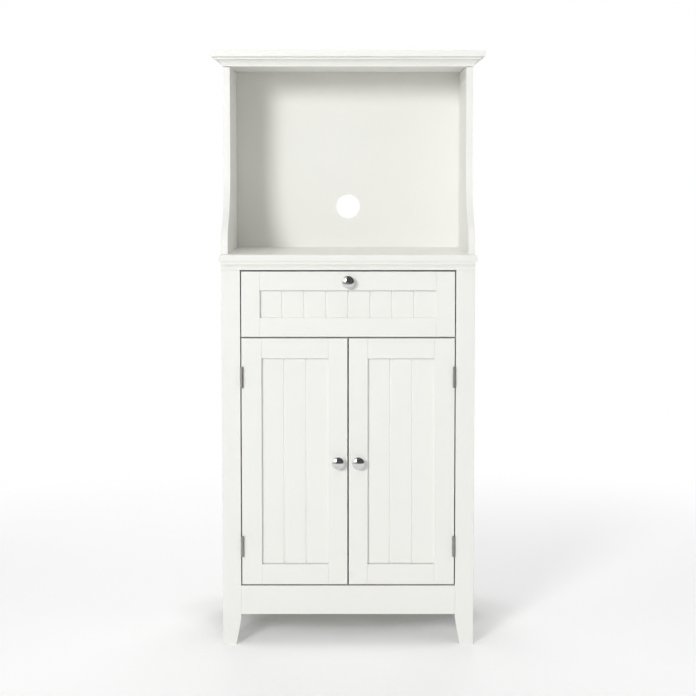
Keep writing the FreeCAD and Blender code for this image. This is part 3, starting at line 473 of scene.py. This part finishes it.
def beadboard_tree():
    """A panel whose face dips into a groove between each pair of boards."""
    tree, given, result = geometry_tree("beadboard", [
        ("Width", "Float"), ("Height", "Float"), ("Thickness", "Float"), ("Boards", "Float"),
        ("Board Width", "Float"), ("Groove Width", "Float"), ("Groove Depth", "Float"), ("Columns", "Int"),
        ("Material", "Material")])
    thickness, board_width = (given, "Thickness"), (given, "Board Width")
    grid = add(tree, "GeometryNodeMeshGrid", Size_X=(given, "Width"), Size_Y=(given, "Height"),
               Vertices_X=(given, "Columns"), Vertices_Y=2)
    place = add(tree, "GeometryNodeInputPosition"), "Position"
    split = add(tree, "ShaderNodeSeparateXYZ", Vector=place)
    half_boards = maths(tree, "MULTIPLY", (given, "Boards"), 0.5)
    across = maths(tree, "ADD", maths(tree, "DIVIDE", (split, "X"), board_width), half_boards)
    near = maths(tree, "SUBTRACT", across, maths(tree, "ROUND", across))
    away = maths(tree, "MULTIPLY", maths(tree, "ABSOLUTE", near), board_width)
    reach = maths(tree, "MULTIPLY", board_width, maths(tree, "SUBTRACT", half_boards, 0.5))
    inside = maths(tree, "LESS_THAN", maths(tree, "ABSOLUTE", (split, "X")), reach)
    half_groove = maths(tree, "MULTIPLY", (given, "Groove Width"), 0.5)
    dip = add(tree, "ShaderNodeMapRange", {"interpolation_type": "SMOOTHERSTEP"}, Value=away,
              From_Max=half_groove, To_Min=1.0, To_Max=0.0)
    deep = maths(tree, "MULTIPLY", maths(tree, "MULTIPLY", (dip, "Result"), inside), (given, "Groove Depth"))
    shaped = xyz(tree, X=(split, "X"), Y=deep, Z=(split, "Y"))
    face = add(tree, "GeometryNodeSetPosition", Geometry=(grid, "Mesh"), Position=shaped)
    thick = add(tree, "GeometryNodeExtrudeMesh", {"mode": "FACES"}, Mesh=(face, "Geometry"),
                Offset=xyz(tree, Y=1.0), Offset_Scale=thickness, Individual=False)
    flat = xyz(tree, X=(split, "X"), Y=thickness, Z=(split, "Z"))
    back = add(tree, "GeometryNodeSetPosition", Geometry=(thick, "Mesh"), Selection=(thick, "Top"),
               Position=flat)
    flipped = add(tree, "GeometryNodeFlipFaces", Mesh=(face, "Geometry"))
    whole = add(tree, "GeometryNodeJoinGeometry", Geometry=(back, "Geometry"))
    feed(tree, whole, "Geometry", (flipped, "Mesh"))
    closed = add(tree, "GeometryNodeMergeByDistance", Geometry=(whole, "Geometry"), Distance=TOUCHING)
    finish_tree(tree, (closed, "Geometry"), given, result)
    return tree


groove_tree = beadboard_tree()
SHARP = 35    # degrees: edges that turn more than this stay sharp in the light


def facing_out(mesh):
    """Faces turned outwards and smooth, with sharp edges kept."""
    made = bmesh.new()
    made.from_mesh(mesh)
    bmesh.ops.recalc_face_normals(made, faces=made.faces)
    for face in made.faces:
        face.smooth = True
    made.to_mesh(mesh)
    made.free()
    mesh.set_sharp_from_angle(angle=math.radians(SHARP))


def eased_ends(mesh, ends, back):
    """The face eased down where it enters the rails, the back left flat.

    Each end is its height, and 1 for up or -1 for down.
    """
    made = bmesh.new()
    made.from_mesh(mesh)
    for end, way in ends:
        for level in (end, end - way * RIM_WIDE):
            bmesh.ops.bisect_plane(made, geom=made.verts[:] + made.edges[:] + made.faces[:],
                                   plane_co=(0, 0, level), plane_no=(0, 0, 1))
        for vertex in made.verts:
            if vertex.co.y < back - TOUCHING and way * (vertex.co.z - end) > -TOUCHING:
                vertex.co.y += RIM_DEEP
    made.to_mesh(mesh)
    made.free()


def beadboard(node, boards, foot_eased):
    """The grooved panel that stands for a plain-grooved solid."""
    low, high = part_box(node)
    size = high - low
    seed = bpy.data.meshes.new(node + "_blank")
    values = {"Width": size.x, "Height": size.z, "Thickness": size.y, "Boards": float(boards),
              "Board Width": (size.x - 2 * HIDDEN_EDGE) / boards, "Groove Width": GROOVE_WIDE,
              "Groove Depth": GROOVE_DEEP, "Columns": round(size.x / COLUMN)}
    piece = grown(node + "_finished", seed, groove_tree, values, paint_up, body_of(node))
    for vertex in piece.data.vertices:
        vertex.co += Vector(((low.x + high.x) / 2, low.y, (low.z + high.z) / 2))
    ends = [(high.z - HIDDEN_EDGE, 1)] + ([(low.z + HIDDEN_EDGE, -1)] if foot_eased else [])
    eased_ends(piece.data, ends, high.y)
    facing_out(piece.data)
    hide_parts(node)


beadboard("left_door_panel", boards=3, foot_eased=True)
beadboard("right_door_panel", boards=3, foot_eased=True)
beadboard("drawer_front_panel", boards=8, foot_eased=False)

# ---- Knobs ------------------------------------------------------------------------------------------
# Turned brass knobs, plated bright: a foot that flares on the paint, a slim neck and a domed head.
# A machine screw through the front holds each one. The profile is millimetres (along, radius).
KNOB_PROFILE = (
    (0.0, 0.0), (0.0, 7.6), (0.5, 8.0), (1.6, 8.0), (2.2, 7.4), (3.2, 6.2), (5.0, 5.3), (8.0, 5.0),
    (11.0, 5.5), (13.6, 7.0), (15.6, 9.2), (17.2, 11.8), (18.4, 13.4), (19.6, 14.2), (20.8, 14.45),
    (22.0, 14.1), (23.2, 12.8), (24.3, 10.4), (25.1, 7.6), (25.7, 4.2), (26.0, 0.0))
KNOB_SIDES = 72

chrome, chrome_tree, chrome_shader, chrome_place = new_material(
    "bright_plate", Metallic=1.0, Base_Color=(0.70, 0.70, 0.70, 1.0))
wipe = noise(chrome_tree, chrome_place, scale=260.0)
feed(chrome_tree, chrome_shader, "Roughness", spread(chrome_tree, wipe, low=0.03, high=0.09))
bump(chrome_tree, chrome_shader, [(wipe, 0.002 * MILLIMETRE)])


def smooth_line(points, steps=4):
    """Points on a smooth line through these, by Catmull and Rom's rule, the ends kept."""
    spots = [Vector(point) for point in points]
    made = []
    for index in range(len(spots) - 1):
        before, here = spots[max(index - 1, 0)], spots[index]
        there, after = spots[index + 1], spots[min(index + 2, len(spots) - 1)]
        for step in range(steps):
            t = step / steps
            made.append(0.5 * (2 * here + (there - before) * t
                               + (2 * before - 5 * here + 4 * there - after) * t * t
                               + (3 * here - before - 3 * there + after) * t * t * t))
    return made + [spots[-1]]


def lathe(name, centres, ways, profile, sides):
    """Closed turned shapes in one mesh, one at each centre.

    The profile is (along, radius) in metres from a centre along its way.
    """
    made = bmesh.new()
    for centre, way in zip(centres, ways):
        way = Vector(way).normalized()
        side = way.orthogonal().normalized()
        other = way.cross(side)
        rings = []
        for along, radius in profile:
            spot = Vector(centre) + way * along
            if radius < TOUCHING:
                rings.append([made.verts.new(spot)])
                continue
            turns = [2 * math.pi * number / sides for number in range(sides)]
            rings.append([made.verts.new(spot + radius * (side * math.cos(turn) + other * math.sin(turn)))
                          for turn in turns])
        for first, second in zip(rings, rings[1:]):
            for number in range(sides):
                following = (number + 1) % sides
                corners = []
                for ring, order in ((first, (number, following)), (second, (following, number))):
                    corners += [ring[0]] if len(ring) == 1 else [ring[index] for index in order]
                if len(corners) > 2:
                    made.faces.new(corners)
    bmesh.ops.remove_doubles(made, verts=made.verts, dist=TOUCHING)
    mesh = bpy.data.meshes.new(name)
    made.to_mesh(mesh)
    made.free()
    facing_out(mesh)
    return mesh


def knob(node):
    """A turned knob as long as its solid; gives the middle of its foot."""
    low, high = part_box(node)
    centre = ((low.x + high.x) / 2, high.y, (low.z + high.z) / 2)
    reach = high.y - low.y
    millimetre = reach / KNOB_PROFILE[-1][0]
    profile = [(point.x * millimetre, max(point.y, 0.0) * millimetre) for point in smooth_line(KNOB_PROFILE)]
    profile[0] = (0.0, 0.0)
    profile[-1] = (reach, 0.0)
    mesh = lathe(node + "_finished", [centre], [(0, -1, 0)], profile, KNOB_SIDES)
    put(node + "_finished", mesh, chrome, body_of(node), [node])
    return centre


for front in ("left_door", "right_door", "drawer"):
    knob_centre = knob(front + "_knob")
    inner_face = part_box("drawer_box_front" if front == "drawer" else front + "_meeting_stile")[1].y
    heads(front + "_knob_bolt", screw_tree, [(knob_centre[0], inner_face, knob_centre[2])], (0, 1, 0), front,
          radius=4 * MILLIMETRE, height=2 * MILLIMETRE, recess=1.1 * MILLIMETRE)

# ---- Hinges -----------------------------------------------------------------------------------------
# Slim butt hinges that need no mortise: the door's leaf closes into the window of the leg's leaf.
# They are rolled from nickel-plated sheet, turn on a pin with domed ends, and are screwed through.
nickel = metal("dull_nickel", (0.34, 0.335, 0.32, 1.0), roughness=0.36)
SHEET_ANGLE = 40.0    # degrees: sheet metal's bends turn less than this, and aren't eased
LEAF_THICK = 1.4 * MILLIMETRE
KNUCKLE_TALL = 19 * MILLIMETRE
PIN_DOME = 0.5 * MILLIMETRE
PIN_ROUND = 0.7       # a dome's middle, as a share of its height and of the pin's radius
PIN_SIDES = 24
SCREW_FROM_EDGE = 4 * MILLIMETRE
LEG_SCREW_REACH = 19 * MILLIMETRE
DOOR_SCREW_REACH = 5 * MILLIMETRE
board("hinge_frame_leaves", nickel, arris=0.12 * MILLIMETRE, angle=SHEET_ANGLE)
for side, _ in HANDS:
    board(side + "_door_hinge_leaves", nickel, arris=0.2 * MILLIMETRE, angle=SHEET_ANGLE)

pins_low, pins_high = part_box("hinge_pins")
leaf_low, leaf_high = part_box("left_door_hinge_leaves")
frame_leaf_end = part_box("hinge_frame_leaves")[1].y
pin_radius = (pins_high.y - pins_low.y) / 2
pin_y = (pins_low.y + pins_high.y) / 2
pin_x = pins_high.x - pin_radius
hinge_long = 2 * (leaf_low.z - pins_low.z) + KNUCKLE_TALL
hinge_levels = (pins_low.z + hinge_long / 2, pins_high.z - hinge_long / 2)
pin_feet = [(across, pin_y, level - hinge_long / 2) for across in (-pin_x, pin_x) for level in hinge_levels]
pin_outline = [(-PIN_DOME, 0.0), (-PIN_DOME * PIN_ROUND, pin_radius * PIN_ROUND), (0.0, pin_radius),
               (hinge_long, pin_radius), (hinge_long + PIN_DOME * PIN_ROUND, pin_radius * PIN_ROUND),
               (hinge_long + PIN_DOME, 0.0)]
pins = lathe("hinge_pins_finished", pin_feet, [(0, 0, 1)] * len(pin_feet), pin_outline, PIN_SIDES)
put("hinge_pins_finished", pins, nickel, "stand", ["hinge_pins"])

for side, sign in HANDS:
    leg_face, door_edge = side_of("front_leg_" + side, -sign), side_of(side + "_door_hinge_stile", sign)
    for part, body, way, face, leaf_end, reach in (
            ("leg", "stand", -sign, leg_face, frame_leaf_end, LEG_SCREW_REACH),
            ("door", side + "_door", sign, door_edge, leaf_high.y, DOOR_SCREW_REACH)):
        screw_spots = [(face + way * LEAF_THICK, leaf_end - SCREW_FROM_EDGE, level + end * reach)
                       for level in hinge_levels for end in (-1, 1)]
        heads(f"{part}_hinge_screws_{side}", screw_tree, screw_spots, (way, 0, 0), body,
              radius=2.6 * MILLIMETRE, height=0.4 * MILLIMETRE, recess=0.8 * MILLIMETRE,
              material=nickel)

# ---- Magnetic catches -------------------------------------------------------------------------------
# Moulded cases under the divider hold a magnet between two steel poles.
# A thin steel plate on the back of each door meets the poles.
POLE_THICK = 1.0 * MILLIMETRE
POLE_INSET = 2.5 * MILLIMETRE     # in from the case's upper and lower faces
POLE_SHORT = 3 * MILLIMETRE       # in from the plate's ends
POLE_SUNK = 3 * MILLIMETRE        # into the case
POLE_GAP = 0.1 * MILLIMETRE       # off the plate


def plastic(name, colour, roughness):
    """Moulded plastic with a fine spark-eroded texture."""
    material, tree, shader, place = new_material(name, IOR=1.5)
    texture = noise(tree, place, scale=1500.0, detail=2.0)
    clouds = noise(tree, place, scale=30.0)
    feed(tree, shader, "Base Color", shades(tree, clouds, [(0.3, tinted(colour, 0.97)), (0.7, colour)]))
    feed(tree, shader, "Roughness", spread(tree, texture, low=roughness - 0.05, high=roughness + 0.08))
    bump(tree, shader, [(texture, 0.01 * MILLIMETRE)])
    return material


catch_white = plastic("catch_plastic", (0.82, 0.82, 0.80, 1.0), roughness=0.45)
board("magnet_catches", catch_white, arris=0.8 * MILLIMETRE, segments=3)
catch_low, catch_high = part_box("magnet_catches")


def bar(made, low, high):
    """A square-edged bar between two corners, added to a mesh in the making."""
    corners = bmesh.ops.create_cube(made, size=1.0)["verts"]
    low, high = Vector(low), Vector(high)
    for corner in corners:
        corner.co = (low + high) / 2 + Vector([part * side for part, side in zip(corner.co, high - low)])


poles = bmesh.new()
for side, _ in HANDS:
    strike_low, strike_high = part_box(side + "_door_strike")
    board(side + "_door_strike", zinc, arris=0.25 * MILLIMETRE)
    for level in (catch_low.z + POLE_INSET, catch_high.z - POLE_INSET - POLE_THICK):
        bar(poles, (strike_low.x + POLE_SHORT, strike_high.y + POLE_GAP, level),
            (strike_high.x - POLE_SHORT, catch_low.y + POLE_SUNK, level + POLE_THICK))
pole_mesh = bpy.data.meshes.new("magnet_poles")
poles.to_mesh(pole_mesh)
poles.free()
soften(put("magnet_poles", pole_mesh, zinc, "stand"), width=0.15 * MILLIMETRE)

# ---- Drawer box -------------------------------------------------------------------------------------
# Thin white-painted boards, butted and pinned round a bottom that slides in grooves.
# Screws through the box's front hold the drawer's front to it.
for part in ("side_left", "side_right", "back", "box_front"):
    board("drawer_" + part, paint_deep if "side" in part else paint_across, arris=0.4 * MILLIMETRE)
board("drawer_bottom", panel_white, arris=0.3 * MILLIMETRE)
box_low, box_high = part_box("drawer_box_front")
FRONT_SCREW_IN = 70 * MILLIMETRE
FRONT_SCREW_UP = 24 * MILLIMETRE
front_spots = [(x, box_high.y, z) for x in (box_low.x + FRONT_SCREW_IN, box_high.x - FRONT_SCREW_IN)
               for z in (box_low.z + FRONT_SCREW_UP, box_high.z - FRONT_SCREW_UP)]
heads("drawer_front_screws", screw_tree, front_spots, (0, 1, 0), "drawer",
      radius=3.6 * MILLIMETRE, height=1.8 * MILLIMETRE, recess=1.0 * MILLIMETRE)

# ---- Drawer runners ---------------------------------------------------------------------------------
# Folded steel, powder-coated white: a channel on a batten in the cabinet and an angle under the drawer.
# Each carries one nylon wheel on a riveted axle, and the drawer rolls between the four.
SHEET_THICK = 1.2 * MILLIMETRE
SCREW_SHARES = (0.18, 0.5, 0.82)    # of the runner's length
softwood_deep = wood("softwood_grain_deep", "Y")
powder_coat, coat_tree, coat_shader, coat_place = new_material("powder_coat", IOR=1.5)
coat_peel = noise(coat_tree, coat_place, scale=650.0, detail=2.0)
coat_tone = shades(coat_tree, noise(coat_tree, coat_place, scale=12.0),
                   [(0.3, (0.80, 0.80, 0.78, 1)), (0.7, (0.84, 0.84, 0.82, 1))])
feed(coat_tree, coat_shader, "Base Color", coat_tone)
feed(coat_tree, coat_shader, "Roughness", spread(coat_tree, coat_peel, low=0.3, high=0.44))
bump(coat_tree, coat_shader, [(coat_peel, 0.02 * MILLIMETRE)])
for side, sign in HANDS:
    board("runner_batten_" + side, softwood_deep, arris=0.6 * MILLIMETRE)
    for carrier, body, way in (("cabinet", "stand", -sign), ("drawer", "drawer", sign)):
        runner = f"{carrier}_runner_{side}"
        board(runner, powder_coat, arris=0.25 * MILLIMETRE, angle=SHEET_ANGLE)
        low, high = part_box(runner)
        wall = side_of("drawer_side_" + side if carrier == "drawer" else runner, sign)
        runner_spots = [(wall + way * SHEET_THICK, low.y + share * (high.y - low.y), (low.z + high.z) / 2)
                        for share in SCREW_SHARES]
        heads(runner + "_screws", screw_tree, runner_spots, (way, 0, 0), body,
              radius=3.2 * MILLIMETRE, height=0.9 * MILLIMETRE, recess=0.9 * MILLIMETRE)

# ---- Wheels -----------------------------------------------------------------------------------------
# Moulded nylon wheels with rounded treads and a shallow dish round the axle.
# They turn freely on the runners' steel axles, and each rolls along a flange of the other runner.
nylon = plastic("nylon", (0.80, 0.80, 0.77, 1.0), roughness=0.38)
WHEEL_BORE = 2.55 * MILLIMETRE
WHEEL_WIDE = 6.5 * MILLIMETRE
WHEEL_SIDES = 48
DISH = ((0.0, 4.2), (0.5, 4.6), (0.5, 7.2), (0.0, 7.6))    # millimetres (deep, radius)
TREAD = 0.7 * MILLIMETRE                                   # the tread's rounding
TREAD_MIDDLE = 0.3 * TREAD
for carrier in ("cabinet", "drawer"):
    node = carrier + "_rollers"
    low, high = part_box(node)
    radius = (high.z - low.z) / 2
    outline = [(0.0, WHEEL_BORE)] + [(deep * MILLIMETRE, out * MILLIMETRE) for deep, out in DISH] + [
        (0.0, radius - TREAD), (TREAD_MIDDLE, radius - TREAD_MIDDLE), (TREAD, radius),
        (WHEEL_WIDE - TREAD, radius), (WHEEL_WIDE - TREAD_MIDDLE, radius - TREAD_MIDDLE),
        (WHEEL_WIDE, radius - TREAD), (WHEEL_WIDE, WHEEL_BORE), (0.0, WHEEL_BORE)]
    centres = [(outer, (low.y + high.y) / 2, (low.z + high.z) / 2) for outer in (low.x, high.x)]
    mesh = lathe(node + "_finished", centres, [(1, 0, 0), (-1, 0, 0)], outline, WHEEL_SIDES)
    put(node + "_finished", mesh, nylon, node, [node])

# ---- Studio -----------------------------------------------------------------------------------------
# A white floor that fades into a white surround, with a painted shade under the stand, a soft lamp from the
# front left, and weaker fills.
# A dark hall that only mirrors see gives the plated knobs something to reflect.
FLOOR_REACH = 9.0
FLOOR_GREY = (0.94, 0.94, 0.94, 1.0)
FADE_FROM = 0.9                     # between these distances from the middle the floor turns white
FADE_TO = 2.4
FLOOR_LIFT = 0.19                   # brightness added where the open floor is looked at
PAINTED_SHADE_LIFT = 0.03                   # and the less of it under the stand, a painted shade there
LIFT_FROM = 0.16                    # the one turns into the other between these distances
LIFT_FULL = 0.27
PAINTED_SHADE_CENTRE = (0.0, -0.16, 0.0)    # the painted shade's oval is centred behind the stand's middle
PAINTED_SHADE_SHAPE = (0.6, 1.0, 1.0)       # in an oval that is longer across
WHITE = (1.0, 1.0, 1.0, 1.0)


def stage_piece(name, mesh):
    """A piece of the studio, which isn't part of the stand."""
    piece = bpy.data.objects.new(name, mesh)
    bpy.context.scene.collection.objects.link(piece)
    return piece


def looked_at(tree):
    """One for a ray that is seen directly, in a mirror or through glass, and nought for light."""
    path = add(tree, "ShaderNodeLightPath")
    seen = path, "Is Camera Ray"
    for ray in ("Is Glossy Ray", "Is Transmission Ray"):
        seen = maths(tree, "MAXIMUM", seen, (path, ray))
    return seen


floor_paint = bpy.data.materials.new("studio_floor")
floor_paint.use_nodes = True
tree = floor_paint.node_tree
tree.nodes.remove(tree.nodes["Principled BSDF"])
seen = looked_at(tree)
place = add(tree, "ShaderNodeTexCoord"), "Object"
away = add(tree, "ShaderNodeVectorMath", {"operation": "LENGTH"}, Vector=place)
fade = add(tree, "ShaderNodeMapRange", {"interpolation_type": "SMOOTHSTEP"}, Value=(away, "Value"),
           From_Min=FADE_FROM, From_Max=FADE_TO)
# Under the stand the brightness added for the camera is turned down in an oval: a painted shade over the
# lamps' own shadow.
painted_shade = add(tree, "ShaderNodeMapping", Vector=place, Location=PAINTED_SHADE_CENTRE, Scale=PAINTED_SHADE_SHAPE)
from_painted_shade = add(tree, "ShaderNodeVectorMath", {"operation": "LENGTH"}, Vector=(painted_shade, "Vector"))
rise = add(tree, "ShaderNodeMapRange", Value=(from_painted_shade, "Value"), From_Min=LIFT_FROM, From_Max=LIFT_FULL,
           To_Min=PAINTED_SHADE_LIFT, To_Max=FLOOR_LIFT)
matt = add(tree, "ShaderNodeBsdfDiffuse", Color=FLOOR_GREY)
lifted = add(tree, "ShaderNodeEmission", Color=WHITE,
             Strength=maths(tree, "MULTIPLY", seen, (rise, "Result")))
near = add(tree, "ShaderNodeAddShader")
feed(tree, near, 0, (matt, "BSDF"))
feed(tree, near, 1, (lifted, "Emission"))
white = add(tree, "ShaderNodeEmission", Color=WHITE, Strength=1.0)
mix = add(tree, "ShaderNodeMixShader")
feed(tree, mix, 0, maths(tree, "MULTIPLY", (fade, "Result"), seen))
feed(tree, mix, 1, (near, "Shader"))
feed(tree, mix, 2, (white, "Emission"))
feed(tree, tree.nodes["Material Output"], "Surface", (mix, "Shader"))

floor_mesh = bpy.data.meshes.new("floor")
floor_corners = [(x * FLOOR_REACH, y * FLOOR_REACH, 0.0) for x, y in ((-1, -1), (1, -1), (1, 1), (-1, 1))]
floor_mesh.from_pydata(floor_corners, [], [(0, 1, 2, 3)])
floor_mesh.materials.append(floor_paint)
stage_piece("floor", floor_mesh)

AMBIENT = 0.175
world = bpy.data.worlds.new("surround")
world.use_nodes = True
bpy.context.scene.world = world
tree = world.node_tree
surround = tree.nodes["Background"]
feed(tree, surround, "Color", WHITE)
feed(tree, surround, "Strength", spread(tree, looked_at(tree), low=AMBIENT, high=1.0))


def lamp(name, place, aim, size, power, mirrored=True):
    """A soft round lamp that no camera sees, and no mirror either if it isn't to be mirrored."""
    data = bpy.data.lights.new(name, "AREA")
    data.shape = "DISK"
    data.size = size
    data.energy = power
    made = bpy.data.objects.new(name, data)
    bpy.context.scene.collection.objects.link(made)
    made.location = place
    made.rotation_euler = (Vector(aim) - Vector(place)).to_track_quat("-Z", "Y").to_euler()
    made.visible_camera = False
    made.visible_glossy = mirrored


lamp("key", (-2.775, -7.35, 2.67), aim=(0, 0, 0.75), size=1.72, power=305)
lamp("ceiling", (0.0, -0.3, 3.2), aim=(0.0, -0.3, 0.0), size=2.6, power=23, mirrored=False)
lamp("front_ceiling", (0.0, -2.4, 3.0), aim=(0.0, -0.2, 0.6), size=2.0, power=8, mirrored=False)
lamp("back_ceiling", (0.0, 2.4, 3.0), aim=(0.0, 0.3, 0.0), size=2.4, power=46, mirrored=False)
lamp("left_fill", (-3.0, -2.2, 1.9), aim=(0.1, 0.0, 0.8), size=2.4, power=6)
lamp("right_fill", (3.0, -2.2, 1.6), aim=(-0.1, 0.0, 0.8), size=2.4, power=12, mirrored=False)

# The hall is a dome of flat panels, open on the left below its roof. Its angles are degrees.
HALL_RADIUS = 9.5
HALL_CENTRE = Vector((0.0, -0.2, 0.8))
HALL_LEFT = -14
HALL_ROOF = 50
HALL_TURNS = range(-134, 130, 8)
HALL_RISES = range(-10, 90, 10)
PANEL_TALL = 9.9    # a little less than a step, so that the top row doesn't close in a point
CLOTH_EDGE = -2.4
CLOTH_LEVEL = 0.003
hall = bmesh.new()


def hall_spot(turn, rise):
    """A place on the dark hall: degrees round to the right from the front, and degrees up."""
    turn, rise = math.radians(turn), math.radians(rise)
    way = Vector((math.sin(turn) * math.cos(rise), -math.cos(turn) * math.cos(rise), math.sin(rise)))
    return hall.verts.new(HALL_CENTRE + HALL_RADIUS * way)


for turn, rise in ((turn, rise) for turn in HALL_TURNS for rise in HALL_RISES):
    if turn >= HALL_LEFT or rise >= HALL_ROOF:
        following, top = turn + HALL_TURNS.step, rise + PANEL_TALL
        hall.faces.new([hall_spot(turn, rise), hall_spot(following, rise), hall_spot(following, top),
                        hall_spot(turn, top)])
cloth_corners = ((-FLOOR_REACH, -FLOOR_REACH), (FLOOR_REACH, -FLOOR_REACH),
                 (FLOOR_REACH, CLOTH_EDGE), (-FLOOR_REACH, CLOTH_EDGE))
hall.faces.new([hall.verts.new((x, y, CLOTH_LEVEL)) for x, y in cloth_corners])
hall_mesh = bpy.data.meshes.new("dark_hall")
hall.to_mesh(hall_mesh)
hall.free()
dark_hall = stage_piece("dark_hall", hall_mesh)
dark_hall.visible_camera = False
dark_hall.visible_diffuse = False
dark_hall.visible_shadow = False
cloth = bpy.data.materials.new("dark_cloth")
cloth.use_nodes = True
cloth_shader = cloth.node_tree.nodes["Principled BSDF"]
feed(cloth.node_tree, cloth_shader, "Base Color", (0.22, 0.22, 0.22, 1.0))
feed(cloth.node_tree, cloth_shader, "Roughness", 0.9)
hall_mesh.materials.append(cloth)

# ---- Camera -----------------------------------------------------------------------------------------
# Straight in front of the stand, a little above the counter and looking slightly down.
# A small shift keeps the stand in the middle of the frame.
CAMERA_PLACE = (-0.0002, -4.3939, 1.1138)
LOOKS_DOWN = 4.360    # degrees
camera_data = bpy.data.cameras.new("camera")
camera_data.lens = 94.88
camera_data.sensor_width = 36.0
camera_data.shift_y = -0.06
camera_data.clip_end = 60.0
camera = bpy.data.objects.new("camera", camera_data)
bpy.context.scene.collection.objects.link(camera)
camera.location = CAMERA_PLACE
camera.rotation_euler = (math.radians(90 - LOOKS_DOWN), 0.0, 0.0)
bpy.context.scene.camera = camera
bpy.context.scene.view_settings.view_transform = "Standard"
